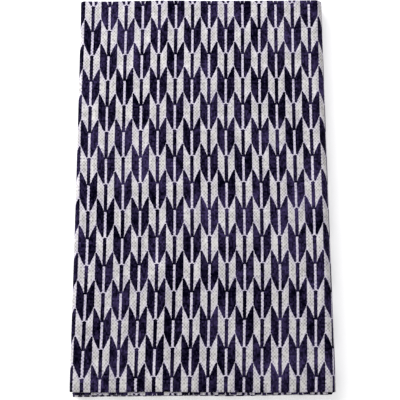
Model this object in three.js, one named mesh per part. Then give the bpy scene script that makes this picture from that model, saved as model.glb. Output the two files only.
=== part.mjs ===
// A tenugui towel, folded as it is kept: one length of plain-woven cotton with two woven edges and
// two raw cut ends, and nothing sewn on. It is folded in half across its width, which makes a strip
// of two plies, and the strip is then halved three times along its length.
// Millimetres. +X lies along the folded strip, +Y away from the viewer and +Z up. The origin is on
// the surface that the towel rests on, under the middle of it.

import * as THREE from 'three';
import { mergeVertices } from 'three/addons/utils/BufferGeometryUtils.js';

// The cloth as it was cut
const CLOTH_LENGTH = 900;
const CLOTH_WIDTH = 360;

// A layer is two plies that share the fold along the near edge, and three halvings stack eight layers
const LAYER_THICKNESS = 1.05;
const LAYER_GAP = 0.25;
const LAYER_PITCH = LAYER_THICKNESS + LAYER_GAP;
const LAYER_COUNT = 8;
const LAYER_DEPTH = CLOTH_WIDTH / 2;

// The folds, in the order in which the cloth runs through them. Layers count from 0, the lowest.
//   side      1 at the right edge, -1 at the left one
//   from, to  the layers that the fold joins
//   inset     how far short of half the span the bend stops at the near edge
//   lean      how much further short it stops at the far edge than at the near one
//   bow       how much further short it stops midway between them
//   reach     how far the bend swells out past the flat of its two layers
//   drift     how far the strip has slid towards the viewer by then
//   steps     facets round the bend
const FOLDS = [
  { side: 1, from: 0, to: 7, inset: 0, lean: 1.7, bow: 0.15, reach: 3.2, drift: 0, steps: 12 },
  { side: -1, from: 7, to: 4, inset: 0.8, lean: 0.15, bow: 0.2, reach: 1.8, drift: 0, steps: 8 },
  { side: 1, from: 4, to: 3, inset: 4.4, lean: 1.7, bow: 0.15, reach: 0.65, drift: 0.6, steps: 6 },
  { side: -1, from: 3, to: 2, inset: 1.7, lean: -0.5, bow: 0.3, reach: 0.65, drift: 2, steps: 6 },
  { side: 1, from: 2, to: 5, inset: 2.9, lean: 1.75, bow: 0.1, reach: 1.7, drift: 1.1, steps: 8 },
  { side: -1, from: 5, to: 6, inset: 2.4, lean: 0.1, bow: 0.25, reach: 0.65, drift: 1.4, steps: 6 },
  { side: 1, from: 6, to: 1, inset: 1.45, lean: 1.7, bow: 0.15, reach: 2.5, drift: 0.9, steps: 10 },
];

// The two raw cut ends, both at the left in the lower half, with the same columns
const FIRST_END = { side: -1, layer: 0, inset: 1.5, lean: 1.1, bow: -0.3, drift: 1.2 };
const LAST_END = { side: -1, layer: 1, inset: 3, lean: -0.8, bow: 0.4, drift: 1.6 };

// Soft rises and hollows of the whole stack, each as a share of its height, by place and spread
const SWELLS = [
  { x: -16, y: 34, across: 34, along: 44, rise: 0.034 },
  { x: 24, y: -34, across: 30, along: 42, rise: 0.03 },
  { x: 42, y: 56, across: 20, along: 30, rise: -0.012 },
  { x: -40, y: -50, across: 24, along: 34, rise: 0.014 },
];
const EDGE_PRESS = 0.035;
const EDGE_PRESS_SPREAD = 7;

// Facets
const RUN_STEPS = 6;
const NOSE_STEPS = 2;
const BODY_SHARES = [0.02, 0.06, 0.14, 0.27, 0.42, 0.57, 0.72, 0.87, 1];
const MIDWAY = 0.5;

// The dyed arrow-feather cloth seen from afar, where its two colours blend
const CLOTH_COLOUR = 0x6b6677;
const CLOTH_ROUGHNESS = 0.95;

const lerp = THREE.MathUtils.lerp;

const layerHeight = (layer) => LAYER_THICKNESS / 2 + layer * LAYER_PITCH;

// The x of a bend or cut end, at a share of the way from the near edge to the far one
function edgeAt(row, share, span) {
  const inset = row.inset + row.lean * share + row.bow * Math.sin(Math.PI * share);
  return row.side * (span / 2 - inset);
}

function addRun(points, end) {
  const start = points.at(-1);
  for (let step = 1; step <= RUN_STEPS; step++) {
    const part = step / RUN_STEPS;
    points.push({
      x: lerp(start.x, end.x, part),
      z: end.z,
      drift: lerp(start.drift, end.drift, part),
    });
  }
}

function addBend(points, fold, centre) {
  const middle = (layerHeight(fold.from) + layerHeight(fold.to)) / 2;
  const rise = layerHeight(fold.to) - middle;
  for (let step = 1; step <= fold.steps; step++) {
    const turn = (Math.PI * step) / fold.steps;
    points.push({
      x: centre + fold.side * fold.reach * Math.sin(turn),
      z: middle - rise * Math.cos(turn),
      drift: fold.drift,
    });
  }
}

// The middle line of the layers, back and forth, from the lowest cut end to the other one
function sectionAt(share, span) {
  const points = [
    {
      x: edgeAt(FIRST_END, share, span),
      z: layerHeight(FIRST_END.layer),
      drift: FIRST_END.drift,
    },
  ];
  for (const fold of FOLDS) {
    const centre = edgeAt(fold, share, span) - fold.side * fold.reach;
    addRun(points, { x: centre, z: layerHeight(fold.from), drift: fold.drift });
    addBend(points, fold, centre);
  }
  addRun(points, {
    x: edgeAt(LAST_END, share, span),
    z: layerHeight(LAST_END.layer),
    drift: LAST_END.drift,
  });
  return points;
}

function lengthOf(points) {
  let length = 0;
  for (let i = 1; i < points.length; i++) {
    length += Math.hypot(points[i].x - points[i - 1].x, points[i].z - points[i - 1].z);
  }
  return length;
}

// The span, from which the folds' insets are counted, that uses up the whole length of the cloth
function solveSpan() {
  const trial = CLOTH_LENGTH / LAYER_COUNT;
  const spare = CLOTH_LENGTH - lengthOf(sectionAt(MIDWAY, trial));
  return trial + spare / LAYER_COUNT;
}

// Rows from the near edge to the far one: a round nose at the near fold, then the flat of the strip
function depthRows() {
  const radius = LAYER_THICKNESS / 2;
  const rows = [];
  for (let step = 0; step <= NOSE_STEPS; step++) {
    const turn = (Math.PI / 2) * (step / NOSE_STEPS);
    rows.push({ along: radius * (1 - Math.cos(turn)), half: radius * Math.sin(turn) });
  }
  for (const share of BODY_SHARES) {
    rows.push({ along: LAYER_DEPTH * share, half: radius });
  }
  return rows;
}

// How much thicker or thinner the stack lies at a place. The surface under it stays flat.
function liftAt(x, y) {
  let lift = 1 - EDGE_PRESS * Math.exp(-(y + LAYER_DEPTH / 2) / EDGE_PRESS_SPREAD);
  for (const swell of SWELLS) {
    const across = (x - swell.x) / swell.across;
    const along = (y - swell.y) / swell.along;
    lift += swell.rise * Math.exp(-across * across - along * along);
  }
  return lift;
}

// Both faces of one row of the strip, as points offset to either side of its middle line
function facesOf(row, span) {
  const section = sectionAt(row.along / LAYER_DEPTH, span);
  const outer = [];
  const inner = [];
  section.forEach((point, i) => {
    const before = section[Math.max(i - 1, 0)];
    const after = section[Math.min(i + 1, section.length - 1)];
    const run = Math.hypot(after.x - before.x, after.z - before.z);
    const normalX = (after.z - before.z) / run;
    const normalZ = (before.x - after.x) / run;
    const y = row.along - LAYER_DEPTH / 2 - point.drift;
    const lift = liftAt(point.x, y);
    outer.push([point.x + normalX * row.half, y, (point.z + normalZ * row.half) * lift]);
    inner.push([point.x - normalX * row.half, y, (point.z - normalZ * row.half) * lift]);
  });
  return { outer, inner };
}

// One closed body: both faces of the strip, its far edge and its two cut ends
function clothGeometry() {
  const span = solveSpan();
  const rows = depthRows().map((row) => facesOf(row, span));
  const count = rows[0].outer.length;
  const positions = rows.flatMap((row) => [...row.outer, ...row.inner]).flat();
  const outer = (row, i) => row * 2 * count + i;
  const inner = (row, i) => outer(row, i) + count;
  const indices = [];
  const addQuad = (a, b, c, d) => indices.push(a, b, c, a, c, d);

  const lastRow = rows.length - 1;
  const lastPoint = count - 1;
  for (let i = 0; i < lastPoint; i++) {
    for (let row = 0; row < lastRow; row++) {
      addQuad(outer(row, i), outer(row + 1, i), outer(row + 1, i + 1), outer(row, i + 1));
      addQuad(inner(row, i), inner(row, i + 1), inner(row + 1, i + 1), inner(row + 1, i));
    }
    addQuad(outer(lastRow, i), inner(lastRow, i), inner(lastRow, i + 1), outer(lastRow, i + 1));
  }
  for (let row = 0; row < lastRow; row++) {
    addQuad(outer(row, 0), inner(row, 0), inner(row + 1, 0), outer(row + 1, 0));
    addQuad(
      outer(row, lastPoint),
      outer(row + 1, lastPoint),
      inner(row + 1, lastPoint),
      inner(row, lastPoint),
    );
  }

  const strip = new THREE.BufferGeometry();
  strip.setAttribute('position', new THREE.Float32BufferAttribute(positions, 3));
  strip.setIndex(indices);
  // The two faces meet along the near fold, so the points that they share there become one
  const closed = mergeVertices(strip);
  closed.computeBoundingBox();
  const box = closed.boundingBox;
  closed.translate(-(box.min.x + box.max.x) / 2, -(box.min.y + box.max.y) / 2, -box.min.z);
  closed.computeVertexNormals();
  return closed;
}

const towel = new THREE.Mesh(
  clothGeometry(),
  new THREE.MeshStandardMaterial({
    color: CLOTH_COLOUR,
    roughness: CLOTH_ROUGHNESS,
    metalness: 0,
  }),
);
towel.name = 'towel';

const group = new THREE.Group();
group.add(towel);

export default group;
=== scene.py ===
"""A tenugui towel, folded and lying on a pale floor: one length of plain-woven cotton, dyed in an
arrow-feather repeat. Sizes are in millimetres and become metres where meshes are made. +X lies along
the folded strip, +Y away from the viewer and +Z up, with the origin under the middle of the towel."""
import functools
import math
from collections import namedtuple

import bpy
import numpy as np
from mathutils import Matrix, Vector


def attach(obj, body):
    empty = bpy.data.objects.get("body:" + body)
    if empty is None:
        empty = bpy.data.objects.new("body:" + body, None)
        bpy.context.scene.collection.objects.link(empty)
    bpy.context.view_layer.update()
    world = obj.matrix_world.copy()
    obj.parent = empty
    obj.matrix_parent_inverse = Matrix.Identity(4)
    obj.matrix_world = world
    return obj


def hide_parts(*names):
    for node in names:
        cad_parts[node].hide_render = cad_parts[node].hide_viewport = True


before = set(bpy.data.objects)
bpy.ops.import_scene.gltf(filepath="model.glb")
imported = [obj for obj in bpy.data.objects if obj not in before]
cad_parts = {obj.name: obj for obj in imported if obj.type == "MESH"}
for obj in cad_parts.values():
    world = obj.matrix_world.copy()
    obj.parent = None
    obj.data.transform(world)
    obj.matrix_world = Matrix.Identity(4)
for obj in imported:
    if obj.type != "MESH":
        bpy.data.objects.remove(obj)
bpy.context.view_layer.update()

MM = 0.001

# The cloth as it was cut
CLOTH_LENGTH = 900.0
CLOTH_WIDTH = 360.0

# A layer is two plies that share the fold along the near edge, and three halvings stack eight layers
LAYER_THICKNESS = 1.05
LAYER_GAP = 0.25
LAYER_PITCH = LAYER_THICKNESS + LAYER_GAP
LAYER_COUNT = 8
LAYER_DEPTH = CLOTH_WIDTH / 2
STACK_HEIGHT = LAYER_COUNT * LAYER_PITCH - LAYER_GAP
BACK_LAYER = 0
FRONT_LAYER = LAYER_COUNT - 1

# One ply: its woven thickness, how far its middle lies from the layer's, and how much thicker, how far
# in and how steep the woven edge is. The first fold missed the middle of the width by a little.
PLY_THICKNESS = 0.42
PLY_OFFSET = 0.28
SELVEDGE_EXTRA = 0.09
SELVEDGE_WIDTH = 3.0
SELVEDGE_POWER = 4
FOLD_MISS = 0.45

# The folds, in the order in which the cloth runs through them. Layers count from 0, the lowest.
#   side        1 at the right edge, -1 at the left one
#   start, end  the layers that the fold joins
#   inset       how far short of half the span the bend stops at the near edge
#   lean        how much further short it stops at the far edge than at the near one
#   bow         how much further short it stops midway between them
#   reach       how far the bend swells out past the flat of its two layers
#   drift       how far the strip has slid towards the viewer by then
#   steps       facets round the bend
Fold = namedtuple("Fold", "side start end inset lean bow reach drift steps")
FOLDS = [
    Fold(1, 0, 7, 0.0, 1.7, 0.15, 3.2, 0.0, 20),
    Fold(-1, 7, 4, 0.8, 0.15, 0.2, 1.8, 0.0, 14),
    Fold(1, 4, 3, 4.4, 1.7, 0.15, 0.65, 0.6, 8),
    Fold(-1, 3, 2, 1.7, -0.5, 0.3, 0.65, 2.0, 8),
    Fold(1, 2, 5, 2.9, 1.75, 0.1, 1.7, 1.1, 10),
    Fold(-1, 5, 6, 2.4, 0.1, 0.25, 0.65, 1.4, 8),
    Fold(1, 6, 1, 1.45, 1.7, 0.15, 2.5, 0.9, 12),
]
CutEnd = namedtuple("CutEnd", "side layer inset lean bow drift")
FIRST_END = CutEnd(-1, 0, 1.5, 1.1, -0.3, 1.2)
LAST_END = CutEnd(-1, 1, 3.0, -0.8, 0.4, 1.6)
# The outermost fold of each side and the layer that slid furthest bound the towel, and the origin lies
# under the middle of these bounds
OUTERMOST = {side: min(fold.inset for fold in FOLDS if fold.side == side) for side in (1, -1)}
SHIFT_X = (OUTERMOST[1] - OUTERMOST[-1]) / 2
SHIFT_Y = max(fold.drift for fold in FOLDS) / 2
FAR_EDGE = LAYER_DEPTH / 2 + SHIFT_Y

# Facets along each run of the strip and across the plies
RUN_STEPS = {BACK_LAYER: 30, FRONT_LAYER: 76}
HIDDEN_RUN_STEPS = 14
OUTER_PLY_STEPS = 104
INNER_PLY_STEPS = 36
NOSE_STEPS = 8
MIDWAY = 0.5


def layer_height(layer):
    return LAYER_THICKNESS / 2 + layer * LAYER_PITCH


def edge_at(row, share, span):
    """The x of a bend or cut end, at a share of the way from the near edge to the far one."""
    inset = row.inset + row.lean * share + row.bow * math.sin(math.pi * share)
    return row.side * (span / 2 - inset)


def add_run(points, x, layer, drift):
    """Carries the strip's middle line along one layer to x."""
    start_x, height, start_drift = points[-1]
    steps = RUN_STEPS.get(layer, HIDDEN_RUN_STEPS)
    for part in np.linspace(0, 1, steps + 1)[1:]:
        run_x = start_x + (x - start_x) * part
        run_drift = start_drift + (drift - start_drift) * part
        points.append((run_x, height, run_drift))


def section_at(share, span):
    """The middle line of the layers, back and forth, as rows of x, height and drift."""
    first = edge_at(FIRST_END, share, span)
    points = [(first, layer_height(FIRST_END.layer), FIRST_END.drift)]
    for fold in FOLDS:
        centre = edge_at(fold, share, span) - fold.side * fold.reach
        middle = (layer_height(fold.start) + layer_height(fold.end)) / 2
        rise = layer_height(fold.end) - middle
        add_run(points, centre, fold.start, fold.drift)
        for turn in np.linspace(0, math.pi, fold.steps + 1)[1:]:
            bend_x = centre + fold.side * fold.reach * math.sin(turn)
            points.append((bend_x, middle - rise * math.cos(turn), fold.drift))
    add_run(points, edge_at(LAST_END, share, span), LAST_END.layer, LAST_END.drift)
    return np.array(points)


def lengths_along(points):
    steps = np.hypot(np.diff(points[:, 0]), np.diff(points[:, 1]))
    return np.concatenate([[0.0], np.cumsum(steps)])


def solve_span():
    """The span, from which the insets are counted, that uses up the whole length of the cloth."""
    trial = CLOTH_LENGTH / LAYER_COUNT
    spare = CLOTH_LENGTH - lengths_along(section_at(MIDWAY, trial))[-1]
    return trial + spare / LAYER_COUNT


# Soft rises and hollows of the whole stack, each as a share of its height, by place and spread
Swell = namedtuple("Swell", "x y across along rise")
SWELLS = [
    Swell(-16, 34, 34, 44, 0.034),
    Swell(24, -34, 30, 42, 0.03),
    Swell(42, 56, 20, 30, -0.012),
    Swell(-40, -50, 24, 34, 0.014),
]
EDGE_PRESS = 0.035
EDGE_PRESS_SPREAD = 7.0

# Creases of the front, as soft troughs (negative) and ridges along a line, fading out at its ends
Crease = namedtuple("Crease", "x0 y0 x1 y1 width rise")
CREASES = [
    Crease(-52, 70, -20, 44, 5.0, 0.22),
    Crease(-46, 60, -14, 30, 6.0, -0.2),
    Crease(18, -84, 44, -56, 5.0, -0.22),
    Crease(26, -86, 52, -62, 4.5, 0.18),
    Crease(-54, -20, 8, -12, 9.0, -0.2),
    Crease(-6, 14, 54, 24, 10.0, -0.18),
    Crease(-50, -74, -24, -52, 6.0, 0.16),
    Crease(30, 88, 50, 52, 6.0, 0.2),
]
CREASE_HOLD = 3.0

# The front rolls down into the near fold over the last few millimetres
NEAR_ROLL = 0.6
NEAR_ROLL_SPREAD = 2.2
NEAR_ROLL_HOLD = 4.0

# Small puckers of the front: their wavelengths, height and number
PUCKER_WAVES = (9.0, 26.0)
PUCKER_HEIGHT = 0.035
PUCKER_COUNT = 14
PUCKER_SEED = 11


def swell_lift(x, y):
    lift = 1 - EDGE_PRESS * np.exp(-(y + LAYER_DEPTH / 2) / EDGE_PRESS_SPREAD)
    for swell in SWELLS:
        across = (x - swell.x) / swell.across
        along = (y - swell.y) / swell.along
        lift = lift + swell.rise * np.exp(-across**2 - along**2)
    return lift


def crease_rise(x, y):
    """How far the creases and puckers lift the front at a place."""
    rise = np.zeros_like(x)
    for crease in CREASES:
        run = np.array([crease.x1 - crease.x0, crease.y1 - crease.y0])
        length = np.hypot(*run)
        along = ((x - crease.x0) * run[0] + (y - crease.y0) * run[1]) / length**2
        across = ((y - crease.y0) * run[0] - (x - crease.x0) * run[1]) / length
        fade = np.sin(math.pi * np.clip(along, 0, 1)) ** 2
        rise += crease.rise * fade * np.exp(-((across / crease.width) ** 2))
    random = np.random.default_rng(PUCKER_SEED)
    for _ in range(PUCKER_COUNT):
        wave = random.uniform(*PUCKER_WAVES)
        heading = random.uniform(0, math.pi)
        phase = random.uniform(0, 2 * math.pi)
        place = x * math.cos(heading) + y * math.sin(heading)
        rise += PUCKER_HEIGHT * np.sin(2 * math.pi * place / wave + phase)
    return rise


def settle(x, y, z):
    """The height of a point of the even stack once it lies as the towel does. Layers never cross."""
    share = np.clip(z / STACK_HEIGHT, 0, None)
    near = np.exp(-np.clip(y + LAYER_DEPTH / 2, 0, None) / NEAR_ROLL_SPREAD)
    front = crease_rise(x, y) * share**CREASE_HOLD
    return z * swell_lift(x, y) + front - NEAR_ROLL * near * share**NEAR_ROLL_HOLD


# Across the cloth: from the front's far woven edge down to the near fold and back on the inner ply
AcrossRow = namedtuple("AcrossRow", "flat depth offset facing_out facing_near half")


def ply_half(flat):
    """Half of the ply's thickness, which grows towards both woven edges."""
    from_edge = min(flat, CLOTH_WIDTH - flat) / SELVEDGE_WIDTH
    return (PLY_THICKNESS + SELVEDGE_EXTRA * math.exp(-(from_edge**SELVEDGE_POWER))) / 2


def across_rows():
    """Rows across the cloth: flat place, depth from the near fold, offset from the layer's middle line,
    the outward direction's two shares, and half of the thickness."""
    outer_width = LAYER_DEPTH + FOLD_MISS
    inner_width = CLOTH_WIDTH - outer_width
    rows = []
    for flat in np.linspace(0, outer_width - PLY_OFFSET, OUTER_PLY_STEPS + 1):
        rows.append(AcrossRow(flat, outer_width - flat, PLY_OFFSET, 1.0, 0.0, ply_half(flat)))
    for turn in np.linspace(0, math.pi, NOSE_STEPS + 1)[1:]:
        flat = outer_width - PLY_OFFSET + 2 * PLY_OFFSET * turn / math.pi
        depth = PLY_OFFSET * (1 - math.sin(turn))
        offset = PLY_OFFSET * math.cos(turn)
        row = AcrossRow(flat, depth, offset, math.cos(turn), math.sin(turn), ply_half(flat))
        rows.append(row)
    for depth in np.linspace(PLY_OFFSET, inner_width, INNER_PLY_STEPS + 1)[1:]:
        flat = outer_width + depth
        rows.append(AcrossRow(flat, depth, -PLY_OFFSET, -1.0, 0.0, ply_half(flat)))
    return rows


# How far the near fold and the woven edges stray from a straight line, and over what length
EDGE_STRAY = 0.22
EDGE_STRAY_WAVES = (38.0, 61.0, 97.0)


def edge_stray(run):
    return sum(
        EDGE_STRAY * np.sin(2 * math.pi * run / wave + index)
        for index, wave in enumerate(EDGE_STRAY_WAVES)
    ) / len(EDGE_STRAY_WAVES)


def cloth_points(span, run):
    """Both faces of the cloth, as two grids of points with a column for each row across it."""
    faces = {1: [], -1: []}
    for row in across_rows():
        section = section_at(min(row.depth / LAYER_DEPTH, 1), span)
        before = np.vstack([section[:1], section[:-1]])
        after = np.vstack([section[1:], section[-1:]])
        step = after[:, :2] - before[:, :2]
        step /= np.hypot(step[:, 0], step[:, 1])[:, None]
        normal_x, normal_z = step[:, 1], -step[:, 0]
        for face, columns in faces.items():
            out = row.offset + face * row.half * row.facing_out
            x = section[:, 0] + normal_x * out
            y = row.depth - LAYER_DEPTH / 2 - section[:, 2] + edge_stray(run)
            y = y - face * row.half * row.facing_near
            z = settle(x, y, section[:, 1] + normal_z * out)
            columns.append(np.column_stack([x + SHIFT_X, y + SHIFT_Y, z]))
    return [np.stack(columns, axis=1) for columns in faces.values()]


# The map that holds each point's place on the flat cloth, in metres from the middle of the front
FLAT_MAP = "flat_cloth"


def flat_places(span, run):
    """The flat cloth's own coordinates. They grow with x and y on the front, where no row of the cloth
    is stretched, and run on from there to both cut ends."""
    heights = section_at(MIDWAY, span)[:, 1]
    first, *_, last = np.flatnonzero(np.isclose(heights, layer_height(FRONT_LAYER)))
    columns = []
    for row in across_rows():
        x = section_at(min(row.depth / LAYER_DEPTH, 1), span)[:, 0]
        before = x[first] + run[first] - run[:first]
        after = x[last] + run[last] - run[last + 1 :]
        along = np.concatenate([before, x[first : last + 1], after])
        columns.append(np.column_stack([along, np.full_like(along, FAR_EDGE - row.flat)]))
    return np.stack(columns, axis=1)


def grid_quads(outer, inner):
    """The faces of a closed thin sheet, from the numbers of its points on its two faces."""
    def strip(a, b, c, d):
        return np.stack([a, b, c, d], axis=-1).reshape(-1, 4)

    quads = [
        strip(outer[:-1, :-1], outer[1:, :-1], outer[1:, 1:], outer[:-1, 1:]),
        strip(inner[:-1, :-1], inner[:-1, 1:], inner[1:, 1:], inner[1:, :-1]),
        strip(outer[1:, 0], outer[:-1, 0], inner[:-1, 0], inner[1:, 0]),
        strip(outer[:-1, -1], outer[1:, -1], inner[1:, -1], inner[:-1, -1]),
        strip(outer[0, :-1], outer[0, 1:], inner[0, 1:], inner[0, :-1]),
        strip(outer[-1, 1:], outer[-1, :-1], inner[-1, :-1], inner[-1, 1:]),
    ]
    return np.concatenate(quads)


def add_flat_map(mesh, places):
    """Gives a mesh the flat cloth's coordinates of its vertices as a UV map."""
    corners = np.empty(len(mesh.loops), dtype=np.int32)
    mesh.loops.foreach_get("vertex_index", corners)
    layer = mesh.uv_layers.new(name=FLAT_MAP)
    layer.uv.foreach_set("vector", places[corners].astype(np.float32).ravel())


SHARP_EDGE = math.radians(55)


def lay_cloth():
    """Both faces of the folded cloth as grids of points, and their places on the flat cloth."""
    span = solve_span()
    run = lengths_along(section_at(MIDWAY, span))
    outer, inner = cloth_points(span, run)
    return outer, inner, flat_places(span, run)


def make_cloth(laid, material):
    outer, inner, places = laid
    numbers = np.arange(outer.shape[0] * outer.shape[1]).reshape(outer.shape[:2])
    quads = grid_quads(numbers, numbers + numbers.size)
    vertices = np.concatenate([outer.reshape(-1, 3), inner.reshape(-1, 3)]) * MM
    mesh = bpy.data.meshes.new("towel_cloth")
    mesh.from_pydata(vertices.tolist(), [], quads.tolist())
    add_flat_map(mesh, np.tile(places.reshape(-1, 2), (2, 1)) * MM)
    mesh.shade_smooth()
    mesh.set_sharp_from_angle(angle=SHARP_EDGE)
    mesh.materials.append(material)
    cloth = bpy.data.objects.new("towel_cloth", mesh)
    bpy.context.collection.objects.link(cloth)
    return cloth


def linear(hex_colour):
    """An sRGB hex colour as linear red, green, blue and alpha."""
    values = [int(hex_colour[i : i + 2], 16) / 255 for i in (1, 3, 5)]
    return [v / 12.92 if v <= 0.04045 else ((v + 0.055) / 1.055) ** 2.4 for v in values] + [1.0]


MATHS = "ShaderNodeMath"
# Sockets that share their names with others of the same node, so they go by number: the colours and the
# result of a mix, and the least and greatest random number and random vector
MIX_FIRST, MIX_SECOND, MIX_RESULT = 6, 7, 2
LEAST_NUMBER, GREATEST_NUMBER = 2, 3
LEAST_VECTOR, GREATEST_VECTOR = 0, 1


def add_node(tree, kind, *inputs, out=0, named=None, **settings):
    """Adds a node, sets it, and sets or links its inputs, by number or by name. Gives one output."""
    node = tree.nodes.new(kind)
    for name, value in settings.items():
        setattr(node, name, value)
    for key, value in [*enumerate(inputs), *(named or {}).items()]:
        if isinstance(value, bpy.types.NodeSocket):
            tree.links.new(value, node.inputs[key])
        elif value is not None:
            node.inputs[key].default_value = value
    return node.outputs[out] if node.outputs else None


def cloud(size, detail, roughness):
    """The inputs of a noise whose clouds have a size in millimetres."""
    return {"Scale": 1 / (size * MM), "Detail": detail, "Roughness": roughness}


# The dyed repeat: columns of feathers side by side, one feather after another down each column. Shares
# across run from 0 at a column's middle to 1 at its edge, and shares down are of one feather's length.
COLUMN_WIDTH = 7.786
HALF_COLUMN = 0.5
FEATHER_LENGTH = 12.309
PAIR_LENGTH = 2.0

# The barbs: how far they slope down to the shaft, how much longer the dye makes them, how far it creeps
# over a column's edge, how much of the upper and the lower corner is cut off, and how far the upper edge
# bows
BARB_DROP = 0.672
DYE_SPREAD = 0.1
EDGE_CREEP = 0.036
CORNER_START = 0.87
CORNER_CUTS = (0.085, 0.045)
BARB_BOW = 0.02
BARB_BOW_MIDDLE = 0.55
BARB_BOW_REACH = 0.3

# The shafts of dyed and undyed feathers, and the gap in the dye round the tip of a dyed shaft
UNDYED_SHAFT_START = 0.607
UNDYED_SHAFT_LENGTH = 0.945
UNDYED_SHAFT_WIDTH = 0.129
DYED_SHAFT_WIDTH = 0.212
SHAFT_FOOT_WIDTH = 0.188
SHAFT_FOOT_START = 1.75
SHAFT_ROUNDING = 0.03
TIP_GAP_WIDTH = 0.3
TIP_GAP_MIDDLE = 0.952
TIP_GAP_HALF = 0.024

# Where the repeat lies on the front, and how it strays: its rows lie askew and bow along the cloth, and
# its columns sway across it
FRONT_COLUMN = 0.609
FRONT_FEATHER = 6.258
ROW_SKEW = 0.0107
ROW_BOW = 7.05
ROW_BOW_LENGTH = 1110.0
Sway = namedtuple("Sway", "reach length phase")
SWAYS = [
    Sway(0.42, 360.0, 1.084),
    Sway(0.24, 130.0, 3.142),
]
STENCIL_STRAY = 0.16
STENCIL_CLOUD = cloud(26.0, 1.0, 0.5)

# The weave: how far apart its threads lie along the strip and across it. They are too fine to show in a
# render, so the material draws them coarser. Each takes some of the dye across its width, so a dyed edge
# steps in and out by which thread lies on top, and strays from one thread to the next.
THREAD_SPACINGS = (0.5, 0.585)
DRAWN_COARSER = 1.33
DRAWN_SPACINGS = [spacing * DRAWN_COARSER for spacing in THREAD_SPACINGS]
THREAD_HOLD = 0.2
THREAD_STRAY = 0.1

# How much each kind of unevenness counts in the tone of the cotton
# The weave's share is painted shade: the ground is lighter where one set of threads lies on top and darker
# where the other does
WEAVE_SHADE_SHARE = 0.46
CROSSING_SHARE = 0.3
THREAD_SHARE = 0.1
SLUB_SHARE = 0.24
PATCH_SHARE = 0.55
SLUB_LENGTH = 14.0
SLUB_NOISE = {"Scale": 1.0, "Detail": 1.0}
PATCH_CLOUD = cloud(6.0, 3.0, 0.5)
GROUND_TONES = (0.47, 1.13)

# The dye took deeper in some places and at some crossings than at others, and tinged the ground beside it
DEPTH_SHARE = 1.8
DYE_CROSSING_SHARE = 0.2
DEPTH_CLOUD = cloud(30.0, 3.0, 0.75)
DYE_TONES = (1.4, 2.175)
DYE_POWER = 2.0
CLEAREST_ACROSS = 0.58
TINGE_REACH_ACROSS = 0.42
CLEAREST_DOWN = 1.55
TINGE_REACH_DOWN = 0.45
TINGE_POWER = 2.0

# The darkest and palest colour of the dye, of clear ground and of tinged ground
DYE_COLOURS = ("#00000e", "#423762")
GROUND_COLOURS = ("#a4a19f", "#f6f4f0")
TINGED_COLOURS = ("#b0a8c4", "#faf4ff")

# How the cotton takes light
COTTON_ROUGHNESS = 0.95
COTTON_GLOSS = 0.025
COTTON_SHEEN = 0.012
SHEEN_ROUGHNESS = 0.5
WEAVE_BUMP = 0.4
WEAVE_RELIEF = 0.1

Threads = namedtuple("Threads", "numbers tones weave crossing")


def weave_threads(node, axes):
    """The threads both ways: each one's number and tone, the weave's rise and fall as they pass over and
    under each other, and a tone for each crossing."""
    numbers, tones, waves = [], [], []
    for across, spacing in zip(axes, DRAWN_SPACINGS):
        thread = node(MATHS, across, spacing * MM, operation="DIVIDE")
        wave = node(MATHS, thread, math.pi, operation="MULTIPLY")
        waves.append(node(MATHS, wave, operation="SINE"))
        numbers.append(node(MATHS, thread, operation="FLOOR"))
        tones.append(node("ShaderNodeTexWhiteNoise", None, numbers[-1], noise_dimensions="1D"))
    weave = node(MATHS, *waves, operation="MULTIPLY")
    crossing = node("ShaderNodeCombineXYZ", *numbers)
    crossing = node("ShaderNodeTexWhiteNoise", crossing, noise_dimensions="2D")
    return Threads(numbers, tones, weave, crossing)


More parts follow.
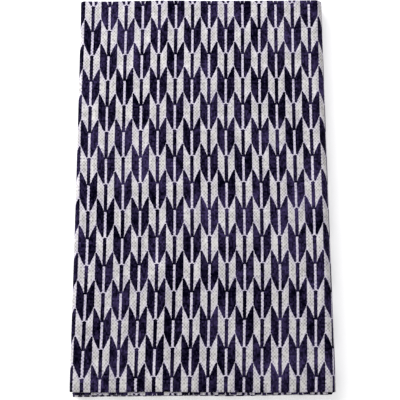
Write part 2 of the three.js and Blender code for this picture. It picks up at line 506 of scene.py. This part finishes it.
def place_in_repeat(node, flat, axes, threads):
    """Where a place lies in the repeat: its share across from its column's middle, and how many feathers
    down. The repeat lies a little unevenly, the dye stops early or late in each thread, and the thread
    that lies on top takes it at its middle."""
    stray = node("ShaderNodeTexNoise", flat, named=STENCIL_CLOUD, out="Color")
    stray = node("ShaderNodeSeparateXYZ", stray).node
    drawn = []
    for across, spacing, number, stray_value, tone, side in zip(
        axes, DRAWN_SPACINGS, threads.numbers, stray.outputs, threads.tones[::-1],
        ("GREATER_THAN", "LESS_THAN"),
    ):
        on_top = node(MATHS, threads.weave, 0.0, operation=side)
        held = node(MATHS, on_top, THREAD_HOLD, operation="MULTIPLY")
        middle = node(MATHS, number, spacing * MM, spacing * MM / 2, operation="MULTIPLY_ADD")
        to_middle = node(MATHS, middle, across, operation="SUBTRACT")
        moved = node(MATHS, to_middle, held, across, operation="MULTIPLY_ADD")
        moved = node(MATHS, stray_value, STENCIL_STRAY * MM, moved, operation="MULTIPLY_ADD")
        drawn.append(node(MATHS, tone, THREAD_STRAY * MM, moved, operation="MULTIPLY_ADD"))

    x, y = axes
    swayed = drawn[0]
    for sway in SWAYS:
        turn = node(MATHS, y, 2 * math.pi / (sway.length * MM), sway.phase, operation="MULTIPLY_ADD")
        turn = node(MATHS, turn, operation="SINE")
        swayed = node(MATHS, turn, -sway.reach * MM, swayed, operation="MULTIPLY_ADD")
    bow = node(MATHS, x, 2 * math.pi / (ROW_BOW_LENGTH * MM), operation="MULTIPLY")
    bow = node(MATHS, bow, operation="COSINE")
    askew = node(MATHS, x, -ROW_SKEW, drawn[1], operation="MULTIPLY_ADD")
    bowed = node(MATHS, bow, -ROW_BOW * MM, askew, operation="MULTIPLY_ADD")

    # Columns run from left to right and feathers from top to bottom, and each column starts one feather
    # further down than the one before it
    column = node(MATHS, swayed, 1 / (COLUMN_WIDTH * MM), FRONT_COLUMN, operation="MULTIPLY_ADD")
    column_number = node(MATHS, column, operation="ROUND")
    from_middle = node(MATHS, column, column_number, operation="SUBTRACT")
    from_middle = node(MATHS, from_middle, operation="ABSOLUTE")
    from_middle = node(MATHS, from_middle, HALF_COLUMN, operation="DIVIDE")
    feather = node(MATHS, bowed, -1 / (FEATHER_LENGTH * MM), FRONT_FEATHER, operation="MULTIPLY_ADD")
    feather = node(MATHS, feather, column_number, operation="SUBTRACT")
    return from_middle, feather


def dyed_barbs(node, from_middle, slope):
    """1 on the barbs of dyed feathers. Dyed and undyed ones take turns. A dyed barb's upper edge bows
    up, its corners stop short of the next column, and along its side the dye creeps over into that
    column."""
    bow = node(MATHS, from_middle, BARB_BOW_MIDDLE, operation="SUBTRACT")
    bow = node(MATHS, bow, BARB_BOW_REACH, operation="DIVIDE")
    bow = node(MATHS, bow, bow, operation="MULTIPLY")
    bow = node(MATHS, bow, BARB_BOW, -BARB_BOW, operation="MULTIPLY_ADD")
    cut = node("ShaderNodeMapRange", from_middle, CORNER_START, 1.0, 0.0, CORNER_CUTS[0])
    top = node(MATHS, cut, bow, operation="ADD")
    length = node("ShaderNodeMapRange", from_middle, CORNER_START, 1.0,
                  1 + DYE_SPREAD, 1 + DYE_SPREAD - sum(CORNER_CUTS))
    length = node(MATHS, length, bow, operation="SUBTRACT")
    by_edge = node(MATHS, from_middle, 1 - EDGE_CREEP, operation="GREATER_THAN")
    turn = node(MATHS, PAIR_LENGTH, by_edge, operation="SUBTRACT")
    below_top = node(MATHS, slope, top, operation="SUBTRACT")
    below_top = node(MATHS, below_top, turn, operation="FLOORED_MODULO")
    return node(MATHS, below_top, length, operation="LESS_THAN")


def arrow_feathers(node, from_middle, feather, slope):
    """1 where the cotton is dyed and 0 on the ground."""
    # The shaft is dyed in an undyed feather, where it has a rounded tip and narrows to its foot
    along = node(MATHS, feather, UNDYED_SHAFT_START, operation="SUBTRACT")
    along = node(MATHS, along, PAIR_LENGTH, operation="FLOORED_MODULO")
    tip = node(MATHS, from_middle, DYED_SHAFT_WIDTH, operation="DIVIDE")
    tip = node(MATHS, tip, tip, operation="MULTIPLY")
    tip = node(MATHS, tip, SHAFT_ROUNDING, UNDYED_SHAFT_LENGTH, operation="MULTIPLY_ADD")
    dyed_part = node(MATHS, along, tip, operation="GREATER_THAN")
    shaft_width = node("ShaderNodeMapRange", along, SHAFT_FOOT_START, PAIR_LENGTH,
                       DYED_SHAFT_WIDTH, SHAFT_FOOT_WIDTH)
    dyed_shaft = node(MATHS, from_middle, shaft_width, operation="LESS_THAN")
    dyed_shaft = node(MATHS, dyed_shaft, dyed_part, operation="MULTIPLY")

    # What stays clear of dye in a dyed feather: its shaft, and a gap round the tip of the next shaft
    undyed_shaft = node(MATHS, from_middle, UNDYED_SHAFT_WIDTH, operation="LESS_THAN")
    undyed_part = node(MATHS, along, UNDYED_SHAFT_LENGTH, operation="LESS_THAN")
    undyed_shaft = node(MATHS, undyed_shaft, undyed_part, operation="MULTIPLY")
    tip_gap = node(MATHS, from_middle, TIP_GAP_WIDTH, operation="LESS_THAN")
    by_tip = node(MATHS, along, TIP_GAP_MIDDLE, TIP_GAP_HALF, operation="COMPARE")
    tip_gap = node(MATHS, tip_gap, by_tip, operation="MULTIPLY")
    clear = node(MATHS, undyed_shaft, tip_gap, operation="MAXIMUM")
    barbs = dyed_barbs(node, from_middle, slope)
    barbs = node(MATHS, barbs, clear, operation="SUBTRACT", use_clamp=True)
    return node(MATHS, barbs, dyed_shaft, operation="MAXIMUM")


def ground_tinge(node, from_middle, slope):
    """How much the dye tinged the ground, which is clearest midway across a barb and midway down it."""
    down = node(MATHS, slope, PAIR_LENGTH, operation="FLOORED_MODULO")
    tinges = []
    for share, clearest, reach in ((from_middle, CLEAREST_ACROSS, TINGE_REACH_ACROSS),
                                   (down, CLEAREST_DOWN, TINGE_REACH_DOWN)):
        tinge = node(MATHS, share, clearest, operation="SUBTRACT")
        tinge = node(MATHS, tinge, operation="ABSOLUTE")
        tinge = node(MATHS, tinge, reach, operation="DIVIDE")
        tinges.append(node(MATHS, tinge, TINGE_POWER, operation="POWER", use_clamp=True))
    return node(MATHS, *tinges, operation="MAXIMUM")


def cotton_grain(node, flat, threads):
    """The tone of the cotton from crossing to crossing, from thread to thread, in slubs along the threads
    both ways and in patches."""
    uneven = [(tone, THREAD_SHARE) for tone in threads.tones]
    for sizes in ((SLUB_LENGTH, DRAWN_SPACINGS[1]), (DRAWN_SPACINGS[0], SLUB_LENGTH)):
        stretched = node("ShaderNodeMapping", flat,
                         named={"Scale": [1 / (size * MM) for size in sizes] + [1.0]})
        uneven.append((node("ShaderNodeTexNoise", stretched, named=SLUB_NOISE), SLUB_SHARE))
    uneven.append((node("ShaderNodeTexNoise", flat, named=PATCH_CLOUD), PATCH_SHARE))
    grain = node(MATHS, threads.crossing, CROSSING_SHARE, operation="MULTIPLY")
    for source, share in uneven:
        grain = node(MATHS, source, share, grain, operation="MULTIPLY_ADD")
    return grain


def dyed_cotton():
    """Plain-woven cotton, dyed right through in deep purple navy on an undyed ground. The eye sees a
    matt, grainy cloth, whose dyed edges step from thread to thread, and dye that lies thicker in some
    threads than in others."""
    material = bpy.data.materials.new("plain-weave cotton, dyed purple navy")
    material.use_nodes = True
    tree = material.node_tree
    shader = tree.nodes["Principled BSDF"]
    node = functools.partial(add_node, tree)

    flat = node("ShaderNodeUVMap", uv_map=FLAT_MAP)
    place = node("ShaderNodeSeparateXYZ", flat).node
    axes = (place.outputs["X"], place.outputs["Y"])
    threads = weave_threads(node, axes)
    from_middle, feather = place_in_repeat(node, flat, axes, threads)
    # A feather's barbs slope down to its shaft
    slope = node(MATHS, from_middle, BARB_DROP, -BARB_DROP, operation="MULTIPLY_ADD")
    slope = node(MATHS, feather, slope, operation="ADD")
    dyed = arrow_feathers(node, from_middle, feather, slope)
    tinge = ground_tinge(node, from_middle, slope)

    # The dye shows the grain, most of all at the crossings, and where it took deeper. The ground shows the
    # grain,
    # and painted shade of the weave: lighter where one set of threads lies on top and darker where the
    # other does, which stands out more at the darker, looser crossings.
    grain = cotton_grain(node, flat, threads)
    depth = node("ShaderNodeTexNoise", flat, named=DEPTH_CLOUD)
    depth = node(MATHS, depth, DEPTH_SHARE, grain, operation="MULTIPLY_ADD")
    depth = node(MATHS, threads.crossing, DYE_CROSSING_SHARE, depth, operation="MULTIPLY_ADD")
    dye_share = node("ShaderNodeMapRange", depth, *DYE_TONES)
    dye_share = node(MATHS, dye_share, DYE_POWER, operation="POWER")
    # Painted shade of the weave, added to the grain: lighter where one set of threads lies on top, darker
    # where the other does
    looseness = node(MATHS, 1.0, threads.crossing, operation="SUBTRACT")
    woven = node(MATHS, threads.weave, looseness, operation="MULTIPLY")
    woven = node(MATHS, woven, WEAVE_SHADE_SHARE, grain, operation="MULTIPLY_ADD")
    ground_share = node("ShaderNodeMapRange", woven, *GROUND_TONES)

    mix = {"data_type": "RGBA", "out": MIX_RESULT}
    colours = []
    for share, (darkest, palest) in ((dye_share, DYE_COLOURS), (ground_share, GROUND_COLOURS),
                                     (ground_share, TINGED_COLOURS)):
        ends = {MIX_FIRST: linear(darkest), MIX_SECOND: linear(palest)}
        colours.append(node("ShaderNodeMix", share, named=ends, **mix))
    dye, clear, tinged = colours
    ground = node("ShaderNodeMix", tinge, named={MIX_FIRST: clear, MIX_SECOND: tinged}, **mix)
    colour = node("ShaderNodeMix", dyed, named={MIX_FIRST: ground, MIX_SECOND: dye}, **mix)
    tree.links.new(colour, shader.inputs["Base Color"])

    height = node(MATHS, threads.weave, grain, operation="ADD")
    bump = node("ShaderNodeBump", named={"Strength": WEAVE_BUMP, "Distance": WEAVE_RELIEF * MM,
                                         "Height": height})
    tree.links.new(bump, shader.inputs["Normal"])
    shader.inputs["Roughness"].default_value = COTTON_ROUGHNESS
    shader.inputs["Specular IOR Level"].default_value = COTTON_GLOSS
    shader.inputs["Sheen Weight"].default_value = COTTON_SHEEN
    shader.inputs["Sheen Roughness"].default_value = SHEEN_ROUGHNESS
    return material


# Loose ends of the threads along the two raw cuts
FRAY_RADIUS = 0.15
FRAY_LENGTHS = (0.2, 0.7)
FRAY_SPREAD = math.radians(24)
FRAY_LEAST_HEIGHT = 0.03
FRAY_SIDES = 4
FRAY_STEPS = 4
FRAY_SEED = 5
# One end of unit length along x, bending aside by a few of its own radii
FRAY_CURVE = ((0, 0, 0), (0.4, 0, 0), (0.7, 1.2, 0.6), (1, 2.6, -0.8))


def fray_tree():
    """A thread end on every point of a cut edge, bent and turned at random, as one plain mesh."""
    tree = bpy.data.node_groups.new("frayed_cut", "GeometryNodeTree")
    panel = tree.interface
    panel.new_socket("Geometry", in_out="INPUT", socket_type="NodeSocketGeometry")
    for name, kind in (
        ("Thread radius", "NodeSocketFloat"),
        ("Shortest end", "NodeSocketFloat"),
        ("Longest end", "NodeSocketFloat"),
        ("Spread", "NodeSocketFloat"),
        ("Seed", "NodeSocketInt"),
        ("Cotton", "NodeSocketMaterial"),
    ):
        panel.new_socket(name, in_out="INPUT", socket_type=kind)
    panel.new_socket("Geometry", in_out="OUTPUT", socket_type="NodeSocketGeometry")
    node = functools.partial(add_node, tree)
    given = node("NodeGroupInput").node.outputs

    middle_line = node("GeometryNodeCurvePrimitiveBezierSegment", FRAY_STEPS, *FRAY_CURVE)
    ring = node("GeometryNodeCurvePrimitiveCircle", FRAY_SIDES, named={"Radius": 1.0})
    thread = node("GeometryNodeCurveToMesh", middle_line, ring, named={"Fill Caps": True})

    length = node("FunctionNodeRandomValue", data_type="FLOAT", out="Value",
                  named={LEAST_NUMBER: given["Shortest end"], GREATEST_NUMBER: given["Longest end"],
                         "Seed": given["Seed"]})
    size = node("ShaderNodeCombineXYZ", length, given["Thread radius"], given["Thread radius"])
    least = node("ShaderNodeMath", given["Spread"], -1.0, operation="MULTIPLY")
    turn = node("ShaderNodeCombineXYZ", 2 * math.pi, given["Spread"], given["Spread"])
    turn_back = node("ShaderNodeCombineXYZ", 0.0, least, least)
    angle = node("FunctionNodeRandomValue", data_type="FLOAT_VECTOR", out="Value",
                 named={LEAST_VECTOR: turn_back, GREATEST_VECTOR: turn, "Seed": given["Seed"]})
    towards_left = node("ShaderNodeVectorMath", angle, (0, 0, math.pi), operation="ADD")
    ends = node("GeometryNodeInstanceOnPoints", given["Geometry"],
                named={"Instance": thread, "Rotation": towards_left, "Scale": size})
    ends = node("GeometryNodeRealizeInstances", ends)
    ends = node("GeometryNodeSetMaterial", ends, named={"Material": given["Cotton"]})
    node("NodeGroupOutput", ends)
    return tree


def cut_edges(laid):
    """Points along both cut ends of the cloth, a thread apart, and their places on the flat cloth."""
    outer, inner, places = laid
    spacing = THREAD_SPACINGS[1]
    threads = np.arange(spacing / 2, CLOTH_WIDTH, spacing)
    flats = np.array([row.flat for row in across_rows()])
    points, flat_points = [], []
    for end in (0, -1):
        middle = (outer[end] + inner[end]) / 2
        points.append(np.column_stack([np.interp(threads, flats, line) for line in middle.T]))
        flat_points.append(np.column_stack([np.interp(threads, flats, line) for line in places[end].T]))
    return np.concatenate(points) * MM, np.concatenate(flat_points) * MM


def make_fray(laid, material):
    points, flat_points = cut_edges(laid)
    line = bpy.data.meshes.new("cut_edges")
    line.from_pydata(points.tolist(), [], [])
    roots = line.attributes.new("root", "FLOAT2", "POINT")
    roots.data.foreach_set("vector", flat_points.astype(np.float32).ravel())
    holder = bpy.data.objects.new("cut_edges", line)
    bpy.context.collection.objects.link(holder)
    modifier = holder.modifiers.new("frayed_cut", "NODES")
    modifier.node_group = fray_tree()
    values = {
        "Thread radius": FRAY_RADIUS * MM,
        "Shortest end": FRAY_LENGTHS[0] * MM,
        "Longest end": FRAY_LENGTHS[1] * MM,
        "Spread": FRAY_SPREAD,
        "Seed": FRAY_SEED,
        "Cotton": material,
    }
    for item in modifier.node_group.interface.items_tree:
        if item.name in values:
            modifier[item.identifier] = values[item.name]
    evaluated = holder.evaluated_get(bpy.context.evaluated_depsgraph_get())
    mesh = bpy.data.meshes.new_from_object(evaluated)
    mesh.name = "frayed_ends"
    found = np.empty(len(mesh.vertices) * 2, dtype=np.float32)
    mesh.attributes["root"].data.foreach_get("vector", found)
    add_flat_map(mesh, found.reshape(-1, 2))
    mesh.attributes.remove(mesh.attributes["root"])
    for vertex in mesh.vertices:
        vertex.co.z = max(vertex.co.z, FRAY_LEAST_HEIGHT * MM)
    bpy.data.objects.remove(holder)
    fray = bpy.data.objects.new("frayed_ends", mesh)
    bpy.context.collection.objects.link(fray)
    return fray


# The photograph's view: a long lens above the near edge, looking down and a little away
CAMERA_LENS = 86.0
CAMERA_SENSOR = 36.0
CAMERA_NEAREST = 10.0
CAMERA_PLACE = (3.88, -96.15, 429.55)
CAMERA_TARGET = (-1.28, -4.59, 10.3)
CAMERA_RIGHT = (0.99993, 0.00098, -0.01209)


def add_camera():
    camera = bpy.data.cameras.new("camera")
    camera.lens = CAMERA_LENS
    camera.sensor_width = CAMERA_SENSOR
    camera.clip_start = CAMERA_NEAREST * MM
    back = (Vector(CAMERA_PLACE) - Vector(CAMERA_TARGET)).normalized()
    up = back.cross(Vector(CAMERA_RIGHT)).normalized()
    turn = Matrix((up.cross(back), up, back)).transposed().to_4x4()
    holder = bpy.data.objects.new("camera", camera)
    holder.matrix_world = Matrix.Translation(Vector(CAMERA_PLACE) * MM) @ turn
    bpy.context.collection.objects.link(holder)
    bpy.context.scene.camera = holder


# Soft light: an even pale surround, and a large softbox beyond the far left corner, in metres and watts
WHITE = "#ffffff"
SURROUND_STRENGTH = 0.455
SOFTBOX_PLACE = (-0.3, 0.33, 0.35)
SOFTBOX_SIZE = 0.6
SOFTBOX_WATTS = 3.5


def add_light():
    world = bpy.data.worlds.new("pale surround")
    world.use_nodes = True
    surround = world.node_tree.nodes["Background"]
    surround.inputs["Color"].default_value = linear(WHITE)
    surround.inputs["Strength"].default_value = SURROUND_STRENGTH
    bpy.context.scene.world = world
    lamp = bpy.data.lights.new("softbox", "AREA")
    lamp.size = SOFTBOX_SIZE
    lamp.energy = SOFTBOX_WATTS
    holder = bpy.data.objects.new("softbox", lamp)
    holder.location = SOFTBOX_PLACE
    holder.rotation_euler = Vector(SOFTBOX_PLACE).to_track_quat("Z", "Y").to_euler()
    bpy.context.collection.objects.link(holder)
    bpy.context.scene.view_settings.view_transform = "Standard"


FLOOR_HALF = 3.0
FLOOR_DROP = 0.02
FLOOR_GLOW = 0.44
FLOOR_COLOUR = "#f4f4f5"
FLOOR_ROUGHNESS = 0.9
FLOOR_GLOSS = 0.1


def add_floor():
    """A matt white studio floor, lit from below a little so that it stays white round the towel."""
    paint = bpy.data.materials.new("matt white studio floor")
    paint.use_nodes = True
    shader = paint.node_tree.nodes["Principled BSDF"]
    shader.inputs["Base Color"].default_value = linear(FLOOR_COLOUR)
    shader.inputs["Roughness"].default_value = FLOOR_ROUGHNESS
    shader.inputs["Specular IOR Level"].default_value = FLOOR_GLOSS
    shader.inputs["Emission Color"].default_value = linear(WHITE)
    shader.inputs["Emission Strength"].default_value = FLOOR_GLOW
    corners = [(-1, -1), (1, -1), (1, 1), (-1, 1)]
    mesh = bpy.data.meshes.new("floor")
    vertices = [(x * FLOOR_HALF, y * FLOOR_HALF, -FLOOR_DROP * MM) for x, y in corners]
    mesh.from_pydata(vertices, [], [range(len(corners))])
    mesh.materials.append(paint)
    floor = bpy.data.objects.new("floor", mesh)
    bpy.context.collection.objects.link(floor)


add_camera()
add_light()
add_floor()
cotton = dyed_cotton()
laid = lay_cloth()
cloth = make_cloth(laid, cotton)
fray = make_fray(laid, cotton)
for piece in (cloth, fray):
    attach(piece, "root")
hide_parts("towel")
